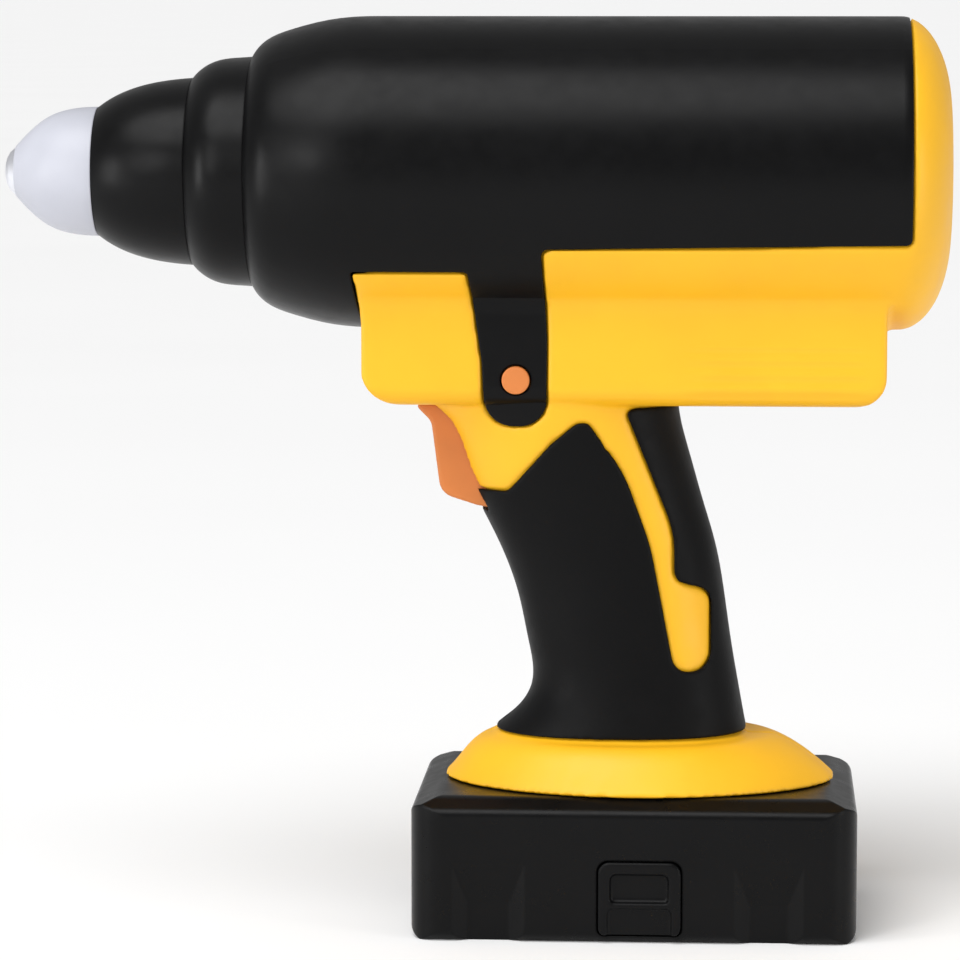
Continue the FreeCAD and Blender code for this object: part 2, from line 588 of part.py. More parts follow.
plate = box(clamp_x - CLAMP_THICK / 2, clamp_x + CLAMP_THICK / 2, -4.6, 4.6, clamp_z, AXIS_Z - 4)
plate = plate.fuse(rod_x(CARRIAGE_R, clamp_x - CLAMP_THICK / 2, clamp_x + CLAMP_THICK / 2))
plate = plate.fuse(rod_y(2.3, clamp_x, clamp_z, -4.6, 4.6)).cut(rod_x(STICK_BORE + 0.5, 0, 60))
NODES["stick_clamp"] = plate.cut(rod_y(CLAMP_PIN_R + PIN_FIT, clamp_x, clamp_z, -10, 10)).removeSplitter()
NODES["feed_springs"] = Part.makeCompound([
    coil(Vector(CHAMBER_REAR, side * ROD_Y, AXIS_Z), Vector(1, 0, 0), car0 + 2 - CHAMBER_REAR, 3.3, 0.45, 9)
    for side in (-1, 1)])

half_thick = LEVER_THICK / 2
lever = prism_xz(((PIVOT_X - 3.6, PIVOT_Z, 0), (PIVOT_X - 1.5, lever_low_z, 0), (PIVOT_X + 1.5, lever_low_z, 0),
                  (PIVOT_X + 3.6, PIVOT_Z, 0), (PIVOT_X + 1.5, lever_top_z, 0), (PIVOT_X - 1.5, lever_top_z, 0)),
                 -half_thick, half_thick)
lever = joined([lever, rod_y(5.5, PIVOT_X, PIVOT_Z, -half_thick, half_thick),
                rod_y(LEVER_BOSS, PIVOT_X, lever_low_z, -half_thick, half_thick),
                rod_y(LEVER_BOSS, PIVOT_X, lever_top_z, -half_thick, half_thick)])
NODES["feed_lever"] = lever.cut(rod_y(PIVOT_R + PIN_FIT, PIVOT_X, PIVOT_Z, -10, 10))
NODES["lever_pin"] = rod_y(PIVOT_R, PIVOT_X, PIVOT_Z, -21, 21)

finger = prism_xz(((-16.2, TRIGGER_TOP, 0.8), (-11.4, 134.8, 4.0), (-8.9, 115.4, 5.0),
                   (1.0, TRIGGER_BOTTOM + 0.8, 8.0), (finger_end, TRIGGER_BOTTOM, 0),
                   (finger_end, TRIGGER_TOP, 0)), -TRIGGER_HALF, TRIGGER_HALF)
block_low = TRIGGER_BOTTOM + 1.4
block = box(2, 19, -7, 7, block_low, 137.0)
fork = box(18, 31, -7, 7, 124.4, 131.6)
fork = fork.cut(box(PIVOT_X - slot_half, PIVOT_X + slot_half, -half_thick - RUN_GAP, half_thick + RUN_GAP,
                    120, 140))
trigger = joined([finger, block, fork]).cut(box(4.5, 17, -5, 5, 115.5, 137.5))
NODES["trigger"] = trigger
NODES["trigger_spring"] = coil(Vector(19, 0, 118), Vector(1, 0, 0), 36 - 19, 3.4, 0.5, 6)

NODES["rear_guide"] = joined([
    rod_x(STICK_BORE + 2.4, ROD_END - 4, TAIL_X - 11),
    box(ROD_END - 4, ROD_END, -ROD_Y - 6, ROD_Y + 6, AXIS_Z - 6, AXIS_Z + 6)]).cut(
        rod_x(STICK_BORE + 0.4, 50, 130)).cut(rod_x(ROD_R, 50, 90, ROD_Y)).cut(rod_x(ROD_R, 50, 90, -ROD_Y))
bulkhead = rod_x(BARREL_R - WALL, 94, 97).common(box(0, 120, -60, 60, AXIS_Z - 20, AXIS_Z + 60))
NODES["rear_bulkhead"] = bulkhead.cut(rod_x(STICK_BORE + 2.4, 50, 130)).cut(lip)
bush_front = TAIL_X - 11
NODES["stick_port_bush"] = turned((
    (bush_front, STICK_BORE), (bush_front, STICK_BORE + 3), (TAIL_X - WALL - 2.4, STICK_BORE + 3),
    (TAIL_X - WALL - 2.4, 14.0), (TAIL_X - WALL, 14.0), (TAIL_X - WALL, 11.0), (TAIL_X, 11.0),
    (TAIL_X, STICK_BORE)))

# ---------------------------------------------------------------- switch, board and leads
flange_y = -(BLOCK_HALF - WALL) + 2.4
stem_end = flange_y + 4.6
NODES["power_button"] = joined([
    rod_y(BUTTON_R, BUTTON_X, BUTTON_Z, -BLOCK_HALF - 1.2, flange_y),
    rod_y(BUTTON_R + 0.6, BUTTON_X, BUTTON_Z, flange_y, flange_y + 1.4),
    rod_y(2.0, BUTTON_X, BUTTON_Z, flange_y, stem_end)])
switch_y = stem_end + BUTTON_TRAVEL + 0.3
NODES["power_switch"] = box(6, 18, switch_y, switch_y + 8.5, SWITCH_LOW, SWITCH_HIGH)
board = box(BOARD_FRONT, BOARD_REAR, -BOARD_HALF, BOARD_HALF, BOARD_Z, BOARD_Z + BOARD_THICK)
NODES["control_board"] = board
top = BOARD_Z + BOARD_THICK
NODES["board_components"] = Part.makeCompound([
    rod_z(4.0, 84, -9, top, top + 11), rod_z(4.0, 84, 1, top, top + 11),
    box(62, 76, -12, -2, top, top + 7), box(62, 70, 3, 12, top, top + 2.2),
    box(74, 80, 6, 14, top, top + 4), box(54, 58, -6, 6, top, top + 1.6)])
NODES["terminal_block"] = box(31, 55, -8, 8, 84, 92).cut(box(37, 49, -5, 5, 83, 88))
BLADES = (34.0, 51.0)
NODES["tool_contacts"] = Part.makeCompound([box(x, x + 1.0, -4, 4, 67, 84) for x in BLADES])
NODES["battery_leads"] = Part.makeCompound([
    lead(((43.5, y, 92), (43.5, y, 128), (47.5, y, 136), (47.5, y, BOARD_Z)), 3) for y in (-4, 4)])
NODES["heater_leads"] = Part.makeCompound([
    lead(((54, s * 12, top), (54, s * 12, 158), (54, s * LEAD_Y, LEAD_Z), (-13, s * LEAD_Y, LEAD_Z),
          (-13, s * 4, saddle_z - 1.8), (HEATER_REAR, s * 4, saddle_z - 1.8)), 1.4) for s in (-1, 1)])
NODES["switch_leads"] = Part.makeCompound([
    lead(((18, y, 150), (33, y, 150), (33, y, 156), (49, y, 156), (49, y, top)), 2) for y in (-14, -10)])

# ---------------------------------------------------------------- battery
middle_x = (BATTERY_FRONT + BATTERY_REAR) / 2
case = rounded_box(BATTERY_FRONT, BATTERY_REAR, BATTERY_HALF, -1, BATTERY_HIGH + 1, BATTERY_CORNER)
flat_y = BATTERY_HALF - BATTERY_MARGIN
case = case.common(prism_yz((
    (-BATTERY_HALF, 0, 3.6), (BATTERY_HALF, 0, 3.6), (BATTERY_HALF, BATTERY_EAVE, 2.6), (flat_y, BATTERY_HIGH, 6.0),
    (-flat_y, BATTERY_HIGH, 6.0), (-BATTERY_HALF, BATTERY_EAVE, 2.6)), BATTERY_FRONT - 1, BATTERY_REAR + 1))
case = case.common(prism_xz((
    (BATTERY_FRONT, 0, 3.6), (BATTERY_REAR, 0, 3.6), (BATTERY_REAR, BATTERY_EAVE, 2.6),
    (BATTERY_REAR - BATTERY_END, BATTERY_HIGH, 6.0), (BATTERY_FRONT + BATTERY_END, BATTERY_HIGH, 6.0),
    (BATTERY_FRONT, BATTERY_EAVE, 2.6)), -BATTERY_HALF - 1, BATTERY_HALF + 1))
case = case.fuse(stem_block(0, BATTERY_HIGH - 4, STEM_TOP))
hollow = rounded_box(BATTERY_FRONT + BATTERY_WALL, BATTERY_REAR - BATTERY_WALL, BATTERY_HALF - BATTERY_SIDE,
                     BATTERY_WALL, BATTERY_EAVE - BATTERY_WALL, BATTERY_CORNER - BATTERY_WALL)
hollow = hollow.fuse(rounded_box(BATTERY_FRONT + BATTERY_END, BATTERY_REAR - BATTERY_END, flat_y,
                                 BATTERY_EAVE - BATTERY_WALL - 1, BATTERY_HIGH - BATTERY_WALL, 4.0))
hollow = hollow.fuse(stem_block(-STEM_WALL, BATTERY_HIGH - 5, STEM_TOP - STEM_WALL))
BATTERY_SCREWS = [(x, y) for x in (33.0, 54.6) for y in (-17.0, 17.0)]
posts = joined([rod_z(3.3, x, y, 1, BATTERY_HIGH - 1) for x, y in BATTERY_SCREWS])
case = case.cut(hollow).fuse(posts)
arm_front, arm_rear = LATCH_FRONT + 6, LATCH_REAR - 6
arm_y = 28.0
for side in (-1, 1):
    for x0, x1 in RECESSES:
        deep = BATTERY_HALF - RECESS_DEEP
        skin = BATTERY_HALF + 0.5
        recess = prism_xy(((x0 - 1, skin, 0), (x0 + RECESS_SLOPE, deep, 2.0), (x1 - RECESS_SLOPE, deep, 2.0),
                           (x1 + 1, skin, 0)), -1, RECESS_TOP)
        recess = recess.common(prism_yz(((deep, -1, 0), (skin, -1, 0), (skin, RECESS_TOP, 0), (deep, 10.0, 4.0)),
                                        x0 - 2, x1 + 2))
        case = case.cut(recess if side > 0 else recess.mirror(Vector(0, 0, 0), Vector(0, 1, 0)))
    window = prism_xz(((LATCH_FRONT - LATCH_GAP, LATCH_LOW - LATCH_GAP, 2),
                       (LATCH_REAR + LATCH_GAP, LATCH_LOW - LATCH_GAP, 2),
                       (LATCH_REAR + LATCH_GAP, LATCH_TOP + LATCH_GAP, 3),
                       (LATCH_FRONT - LATCH_GAP, LATCH_TOP + LATCH_GAP, 3)),
                      BATTERY_HALF - BATTERY_SIDE - 1, BATTERY_HALF + 5)
    case = case.cut(window if side > 0 else window.mirror(Vector(0, 0, 0), Vector(0, 1, 0)))
    low_y, high_y = sorted((side * (arm_y - LATCH_TRAVEL - 1.2), side * (arm_y + 2.6)))
    case = case.cut(box(arm_front - 0.6, arm_rear + 0.6, low_y, high_y, BATTERY_HIGH - 5, BATTERY_HIGH + 3))
for x, y in BATTERY_SCREWS:
    case = case.cut(rod_z(SCREW_R, x, y, 2.4, BATTERY_HIGH - 3)).cut(rod_z(SCREW_HEAD_R + 0.2, x, y, -1, 2.4))
for x in BLADES:
    case = case.cut(box(x - RUN_GAP, x + 1 + RUN_GAP, -4 - RUN_GAP, 4 + RUN_GAP, STEM_TOP - 4, STEM_TOP + 1))
base_region = rounded_box(BATTERY_FRONT + BASE_INSET, BATTERY_REAR - BASE_INSET, BATTERY_HALF - BASE_INSET,
                          -1, BATTERY_WALL, BATTERY_CORNER - 4)
base_region = joined([base_region] + [rod_z(3.3, x, y, -1, BASE_PAD) for x, y in BATTERY_SCREWS])
NODES["battery_case_lower"] = drop_crumbs(case.common(base_region))
NODES["battery_case_upper"] = drop_crumbs(case.cut(base_region))
screw = rod_z(SCREW_R, 0, 0, 2.4, 32).fuse(rod_z(SCREW_HEAD_R, 0, 0, 0.4, 2.4)).cut(rod_z(1.2, 0, 0, 0, 1.6))
NODES["battery_screws"] = Part.makeCompound(
    [screw.removeSplitter().translated(Vector(x, y, 0)) for x, y in BATTERY_SCREWS])

for i, x in enumerate(CELL_X):
    cell = rod_y(CELL_R, x, CELL_Z, -CELL_LONG / 2, CELL_LONG / 2 - 0.8)
    button = rod_y(3.0, x, CELL_Z, CELL_LONG / 2 - 0.8, CELL_LONG / 2)
    NODES["cell_%d" % (i + 1)] = cell.fuse(button).removeSplitter()
cradle = box(CELL_X[0] - 9, CELL_X[1] + 9, -26, 26, BATTERY_WALL, 9)
cradle = cradle.fuse(box(CELL_X[2] - 9, CELL_X[3] + 9, -26, 26, BATTERY_WALL, 9))
cradle = cradle.fuse(box(CELL_X[1], CELL_X[2], -10, 10, BATTERY_WALL, 4.4))
for x in CELL_X:
    cradle = cradle.cut(rod_y(CELL_R, x, CELL_Z, -40, 40))
NODES["cell_cradle"] = cradle
links = []
for pair in (CELL_X[:2], CELL_X[2:]):
    for y0, y1 in ((-CELL_LONG / 2 - 0.4, -CELL_LONG / 2), (CELL_LONG / 2, CELL_LONG / 2 + 0.4)):
        links.append(box(pair[0] - 4, pair[1] + 4, y0, y1, CELL_Z - 3, CELL_Z + 3))
NODES["cell_links"] = Part.makeCompound(links)
inner_half = STEM_HALF - STEM_WALL
NODES["contact_holder"] = box(STEM_FRONT + STEM_WALL, STEM_REAR - STEM_WALL,
                              -inner_half + 2, inner_half - 2, 56, 61)
SPRING_GAP = 0.45
sockets = []
for x in BLADES:
    sockets.append(box(x - SPRING_GAP - 1, x + 1 + SPRING_GAP + 1, -3, 3, 61, 74).cut(
        box(x - SPRING_GAP, x + 1 + SPRING_GAP, -4, 4, 62.5, 75)))
NODES["battery_contacts"] = Part.makeCompound(sockets)
NODES["battery_board"] = box(CELL_X[2] - 8, CELL_X[3] + 8, -28, 28, CELL_Z + CELL_R, CELL_Z + CELL_R + 1.6)
NODES["pack_leads"] = Part.makeCompound([
    lead(((62.5, y, CELL_Z + CELL_R + 1.6), (62.5, y, 31), (48, y, 31), (48, y, 56)), 3, 1.2) for y in (-5, 5)])


def latch(side):
    """Release plate with its hook arm, moving towards Y = 0 when pressed."""
    face = BATTERY_HALF + LATCH_PROUD
    back = face - LATCH_THICK
    plate = prism_xz(((LATCH_FRONT, LATCH_LOW, 2), (LATCH_REAR, LATCH_LOW, 2), (LATCH_REAR, LATCH_TOP, 3),
                      (LATCH_FRONT, LATCH_TOP, 3)), back, face)
    for low, high, rim, depth in ((11.0, LATCH_TOP - 3.2, 3.2, 1.6), (1.0, 9.6, 2.4, 1.1)):
        x0, x1 = LATCH_FRONT + rim, LATCH_REAR - rim
        plate = plate.cut(prism_xz(((x0, low, 0.8), (x1, low, 0.8), (x1, high, 1.6), (x0, high, 1.6)),
                                   face - depth, face + 1))
    riser_back = BATTERY_HALF - BATTERY_SIDE - 2.2
    foot = box(arm_front, arm_rear, riser_back, back, 15.0, 18.6)
    riser = box(arm_front, arm_rear, riser_back, riser_back + 1.8, 15.0, 30.0)
    bridge = box(arm_front, arm_rear, arm_y, riser_back + 1.8, 28.0, 30.0)
    arm = box(arm_front, arm_rear, arm_y, arm_y + 2.0, 28.0, 43.0)
    shape = joined([plate, foot, riser, bridge, arm])
    return shape if side > 0 else shape.mirror(Vector(0, 0, 0), Vector(0, 1, 0))


NODES["latch_left"] = latch(-1)
NODES["latch_right"] = latch(1)
spring_from = BATTERY_HALF - BATTERY_SIDE - 2.2
POST_Y = 24.0
NODES["latch_posts"] = Part.makeCompound([
    box(arm_front, arm_rear, min(s * POST_Y, s * (POST_Y - 3)), max(s * POST_Y, s * (POST_Y - 3)), BATTERY_WALL, 22)
    for s in (-1, 1)])
for name, side in (("latch_spring_left", -1), ("latch_spring_right", 1)):
    NODES[name] = coil(Vector((arm_front + arm_rear) / 2, side * POST_Y, 17.0), Vector(0, side, 0),
                       spring_from - POST_Y, 2.4, 0.4, 5)

# ---------------------------------------------------------------- files
os.makedirs("parts", exist_ok=True)
for name, shape in NODES.items():
    shape.exportStep(os.path.join("parts", name + ".step"))
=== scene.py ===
import json
import logging
import math
from dataclasses import dataclass
from enum import Enum

import bmesh
import bpy
from mathutils import Euler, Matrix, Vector


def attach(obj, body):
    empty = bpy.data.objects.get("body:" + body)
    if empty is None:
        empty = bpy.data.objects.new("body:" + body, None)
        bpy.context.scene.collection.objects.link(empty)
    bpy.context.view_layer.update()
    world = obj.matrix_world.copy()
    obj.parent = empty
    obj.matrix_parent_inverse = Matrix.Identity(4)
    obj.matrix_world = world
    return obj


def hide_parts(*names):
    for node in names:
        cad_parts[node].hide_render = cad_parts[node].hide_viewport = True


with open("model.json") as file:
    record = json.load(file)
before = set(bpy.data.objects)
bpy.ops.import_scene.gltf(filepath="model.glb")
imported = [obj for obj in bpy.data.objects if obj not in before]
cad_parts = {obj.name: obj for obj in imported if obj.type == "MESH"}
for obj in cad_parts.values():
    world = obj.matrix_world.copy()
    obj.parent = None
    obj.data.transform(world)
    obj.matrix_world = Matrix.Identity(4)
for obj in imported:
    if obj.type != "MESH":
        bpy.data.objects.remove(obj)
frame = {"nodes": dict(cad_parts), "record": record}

Colour = tuple[float, float, float]
Place = tuple[float, float, float]
Span = tuple[float, float]

MM = 0.001
MERGE_DISTANCE = 1e-6
BEVEL_SAMPLES = 6
CLOUD_RANGE: Span = (0.3, 0.7)
SMEAR_RANGE: Span = (0.25, 0.75)
log = logging.getLogger("glue_gun")
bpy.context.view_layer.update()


class Wire:
    """A number travelling through a material's nodes, with Python's operators."""

    def __init__(self, maker: "Shader", socket: bpy.types.NodeSocket) -> None:
        """Wraps an output socket of the maker's tree."""
        self.maker = maker
        self.socket = socket

    def _math(self, operation: str, *values: "Wire | float") -> "Wire":
        """Adds one Math node.

        Args:
            operation: The node's operation.
            values: Links or numbers for its inputs.

        Returns:
            The result as a new wire.
        """
        return self.maker.node("ShaderNodeMath", {"operation": operation}, dict(enumerate(values)))

    def __add__(self, other: "Wire | float") -> "Wire":
        """Sum."""
        return self._math("ADD", self, other)

    __radd__ = __add__

    def __sub__(self, other: "Wire | float") -> "Wire":
        """Difference."""
        return self._math("SUBTRACT", self, other)

    def __rsub__(self, other: float) -> "Wire":
        """Difference from a number."""
        return self._math("SUBTRACT", other, self)

    def __mul__(self, other: "Wire | float") -> "Wire":
        """Product."""
        return self._math("MULTIPLY", self, other)

    __rmul__ = __mul__

    def sine(self) -> "Wire":
        """Sine of the value in radians."""
        return self._math("SINE", self)

    def between(self, low: float, high: float) -> "Wire":
        """Smooth step: 0 at low, 1 at high.

        Args:
            low: Value where the result is 0.
            high: Value where the result is 1.

        Returns:
            The eased value from 0 to 1.
        """
        return self.maker.node("ShaderNodeMapRange", {"interpolation_type": "SMOOTHSTEP"},
                               {"Value": self, "From Min": low, "From Max": high})


class Shader:
    """One material's node tree."""

    def __init__(self, name: str) -> None:
        """Starts a tree with its output and its Principled shader."""
        self.material = bpy.data.materials.new(name)
        self.material.use_nodes = True
        self.tree = self.material.node_tree
        self.tree.nodes.clear()
        output = self.tree.nodes.new("ShaderNodeOutputMaterial")
        surface = self.tree.nodes.new("ShaderNodeBsdfPrincipled")
        self.tree.links.new(surface.outputs[0], output.inputs["Surface"])
        self.inputs = surface.inputs
        self.place = self.node("ShaderNodeTexCoord", {}, {}, "Object")

    def node(self, kind: str, settings: dict[str, object], inputs: dict[str | int, object],
             output: str | int = 0) -> Wire:
        """Adds a node.

        Args:
            kind: The node's type.
            settings: Its properties, set before its sockets.
            inputs: Values or wires by socket name or index.
            output: The output socket to return.

        Returns:
            That output as a wire.
        """
        made = self.tree.nodes.new(kind)
        for key, value in settings.items():
            setattr(made, key, value)
        for key, value in inputs.items():
            self.feed(made.inputs[key], value)
        return Wire(self, made.outputs[output])

    def feed(self, socket: bpy.types.NodeSocket, value: object) -> None:
        """Links a wire to a socket, or writes a plain value to it.

        Args:
            socket: The input socket.
            value: A wire, number or colour.
        """
        if isinstance(value, Wire):
            self.tree.links.new(value.socket, socket)
        else:
            socket.default_value = value

    def dress(self, **values: object) -> None:
        """Feeds the Principled shader's sockets, named with underscores for spaces."""
        for name, value in values.items():
            self.feed(self.inputs[name.replace("_", " ")], value)

    def noise(self, grain: float, detail: float = 2.0, rough: float = 0.5) -> Wire:
        """Noise in object space.

        Args:
            grain: Size of its features in millimetres.
            detail: How many finer layers it has.
            rough: How strong the finer layers are.

        Returns:
            The noise, about 0.5 on average.
        """
        return self.node("ShaderNodeTexNoise", {},
                         {"Vector": self.place, "Scale": 1.0 / (grain * MM), "Detail": detail,
                          "Roughness": rough})

    def axis(self, letter: str) -> Wire:
        """One object coordinate, in metres."""
        return self.node("ShaderNodeSeparateXYZ", {}, {0: self.place}, letter)

    def blend(self, mask: Wire, low: tuple[float, ...], high: tuple[float, ...]) -> Wire:
        """Mixes two colours.

        Args:
            mask: 0 for the first colour, 1 for the second.
            low: The first colour, with alpha.
            high: The second colour, with alpha.

        Returns:
            The mixed colour.
        """
        return self.node("ShaderNodeMix", {"data_type": "RGBA"}, {0: mask, 6: low, 7: high}, 2)

    def relief(self, height: Wire, edge_radius: float = 0.0) -> Wire:
        """A normal bent by a height, over edges that look rounded.

        Args:
            height: The height in millimetres.
            edge_radius: The edges' radius in millimetres, 0 for none.

        Returns:
            The normal.
        """
        inputs = {"Height": height, "Distance": MM}
        if edge_radius > 0:
            inputs["Normal"] = self.node("ShaderNodeBevel", {"samples": BEVEL_SAMPLES},
                                         {"Radius": edge_radius * MM})
        return self.node("ShaderNodeBump", {}, inputs)


def rgba(colour: Colour, gain: float = 1.0) -> tuple[float, ...]:
    """Linear colour times a gain, with alpha."""
    return tuple(min(1.0, channel * gain) for channel in colour) + (1.0,)


@dataclass(frozen=True)
class GripRibs:
    """Faint lengthwise ribs low on the rear of the housing, in millimetres."""

    pitch: float = 3.9
    height: float = 0.12
    front: Span = (52.0, 66.0)
    rear: Span = (100.0, 107.0)
    low: Span = (140.5, 143.5)
    top: Span = (155.0, 158.0)

    def relief(self, shader: Shader) -> Wire:
        """Makes the ribs' height.

        Args:
            shader: The material being made.

        Returns:
            The height in millimetres.
        """
        along, upward = shader.axis("X"), shader.axis("Z")
        wave = (upward * (2 * math.pi / (self.pitch * MM))).sine() * self.height
        return wave * self.window(along, self.front, self.rear) * self.window(upward, self.low, self.top)

    def window(self, place: Wire, rise: Span, fall: Span) -> Wire:
        """1 between a rise and a fall, 0 outside them.

        Args:
            place: The coordinate in metres.
            rise: Where it goes from 0 to 1.
            fall: Where it goes back to 0.

        Returns:
            The mask.
        """
        return place.between(rise[0] * MM, rise[1] * MM) * (1 - place.between(fall[0] * MM, fall[1] * MM))


@dataclass(frozen=True)
class MouldedPlastic:
    """Satin moulded plastic or rubber with a fine spark-eroded grain, sizes in millimetres."""

    name: str
    colour: Colour
    rough: float = 0.42
    rough_spread: float = 0.08
    grain: float = 0.45
    grain_depth: float = 0.012
    cloud_size: float = 28.0
    cloud_share: float = 0.7
    smear_size: float = 6.0
    shade_spread: float = 0.10
    edge_radius: float = 0.5
    shine: float = 0.4
    coat: float = 0.0
    coat_rough: float = 0.3
    ribs: GripRibs | None = None

    def make(self) -> bpy.types.Material:
        """Builds the material.

        Returns:
            The finished material.
        """
        shader = Shader(self.name)
        cloud = shader.noise(self.cloud_size, 3.0)
        smear = shader.noise(self.smear_size, 4.0, 0.6)
        mask = (cloud * self.cloud_share + smear * (1.0 - self.cloud_share)).between(*CLOUD_RANGE)
        height = shader.noise(self.grain) * self.grain_depth
        if self.ribs:
            height = height + self.ribs.relief(shader)
        shader.dress(
            Base_Color=shader.blend(mask, rgba(self.colour, 1.0 - self.shade_spread), rgba(self.colour)),
            Roughness=smear.between(*SMEAR_RANGE) * self.rough_spread + (self.rough - self.rough_spread / 2),
            Normal=shader.relief(height, self.edge_radius),
            Specular_IOR_Level=self.shine,
            Coat_Weight=self.coat,
            Coat_Roughness=self.coat_rough,
        )
        return shader.material


@dataclass(frozen=True)
class BareMetal:
    """Turned or drawn metal with fine tool marks, sizes in millimetres."""

    name: str
    colour: Colour
    rough: float = 0.28
    rough_spread: float = 0.16
    marks: float = 0.3
    marks_depth: float = 0.006
    stain_size: float = 7.0
    stain_shade: float = 0.86

    def make(self) -> bpy.types.Material:
        """Builds the material.

        Returns:
            The finished material.
        """
        shader = Shader(self.name)
        fine = shader.noise(self.marks, 3.0)
        stain = shader.noise(self.stain_size, 3.0).between(*CLOUD_RANGE)
        shader.dress(
            Base_Color=shader.blend(stain, rgba(self.colour, self.stain_shade), rgba(self.colour)),
            Metallic=1.0,
            Roughness=fine * self.rough_spread + (self.rough - self.rough_spread / 2),
            Normal=shader.relief(fine * self.marks_depth),
        )
        return shader.material


YELLOW = (0.900, 0.470, 0.010)
BLACK = (0.0028, 0.0028, 0.0031)
ORANGE = (0.640, 0.200, 0.045)


class Finish(Enum):
    """Every finish on the tool."""

    YELLOW_SHELL = MouldedPlastic("yellow_shell_plastic", YELLOW, 0.46, shade_spread=0.05, edge_radius=0,
                                  ribs=GripRibs())
    BLACK_SHELL = MouldedPlastic("black_shell_plastic", BLACK, 0.33, grain=0.5, grain_depth=0.008,
                                 shade_spread=0.25, shine=0.13, edge_radius=0.8)
    BLACK_SOFT = MouldedPlastic("black_soft_rubber", BLACK, 0.50, grain=0.7, grain_depth=0.03,
                                shade_spread=0.25, shine=0.11, edge_radius=0)
    BATTERY = MouldedPlastic("battery_plastic", BLACK, 0.30, grain=0.6, shade_spread=0.3, shine=0.14,
                             edge_radius=1.0)
    ORANGE = MouldedPlastic("orange_plastic", ORANGE, 0.45, shade_spread=0.08, edge_radius=0.3)
    SILICONE = MouldedPlastic("pale_silicone", (0.50, 0.51, 0.57), grain=0.8, shade_spread=0.06,
                              edge_radius=0.6)
    NYLON = MouldedPlastic("glass_filled_nylon", (0.62, 0.58, 0.47), 0.5, grain=0.6)
    CERAMIC = MouldedPlastic("heater_ceramic", (0.72, 0.70, 0.66), 0.6, grain=0.3, shade_spread=0.08)
    BOARD = MouldedPlastic("circuit_board", (0.012, 0.10, 0.035), 0.3, grain=1.2, grain_depth=0.03)
    COMPONENT = MouldedPlastic("component_epoxy", (0.02, 0.02, 0.023), 0.45)
    CELL = MouldedPlastic("cell_wrap", (0.02, 0.12, 0.28), 0.25, grain=2.0, coat=0.4)
    RED_WIRE = MouldedPlastic("red_wire_jacket", (0.45, 0.015, 0.012), 0.4)
    STEEL = BareMetal("bright_steel", (0.56, 0.57, 0.60))
    NICKEL = BareMetal("nickel_plate", (0.86, 0.87, 0.92), 0.45)
    ALUMINIUM = BareMetal("cast_aluminium", (0.72, 0.73, 0.75), 0.4, marks=0.8)
    COPPER = BareMetal("contact_copper", (0.78, 0.42, 0.22), 0.3)


SLOT_FINISH = {
    "yellow_shell": Finish.YELLOW_SHELL,
    "black_shell": Finish.BLACK_SHELL,
    "black_soft": Finish.BLACK_SOFT,
    "battery_black": Finish.BATTERY,
    "orange": Finish.ORANGE,
    "nozzle_silicone": Finish.SILICONE,
    "natural_plastic": Finish.NYLON,
    "ceramic": Finish.CERAMIC,
    "board": Finish.BOARD,
    "component": Finish.COMPONENT,
    "cell_wrap": Finish.CELL,
    "wire_red": Finish.RED_WIRE,
    "steel": Finish.STEEL,
    "nickel": Finish.NICKEL,
    "aluminium": Finish.ALUMINIUM,
    "copper": Finish.COPPER,
}


class Paints:
    """Makes each finish's material once."""

    def __init__(self) -> None:
        """Starts with none made."""
        self.made: dict[Finish, bpy.types.Material] = {}

    def of_slot(self, slot: str) -> bpy.types.Material:
        """The material of a slot's finish."""
        finish = SLOT_FINISH[slot]
        if finish not in self.made:
            self.made[finish] = finish.value.make()
        return self.made[finish]


def body_of_node(node: str) -> str:
    """The body that a CAD node is on."""
    bodies = frame["record"]["behaviour"]["bodies"]
    return next(body for body, nodes in bodies.items() if node in nodes)


def slot_of_node(node: str) -> str:
    """The material slot that a CAD node uses."""
    return next(part["material_slot"] for part in frame["record"]["subparts"] if part["node"] == node)


def apply_modifiers(piece: bpy.types.Object) -> None:
    """Puts the result of the piece's modifiers into its mesh."""
    bpy.context.view_layer.update()
    graph = bpy.context.evaluated_depsgraph_get()
    mesh = bpy.data.meshes.new_from_object(piece.evaluated_get(graph))
    piece.modifiers.clear()
    piece.data = mesh


@dataclass
class CadFinishes:
    """Finishes for the CAD nodes, most of which show as they are."""

    paints: Paints

    def build(self) -> None:
        """Gives each node the material of its slot."""
        for name, node in frame["nodes"].items():
            material = self.paints.of_slot(slot_of_node(name))
            node.data.materials.clear()
            node.data.materials.append(material)
            log.info("%s finished in %s", name, material.name)


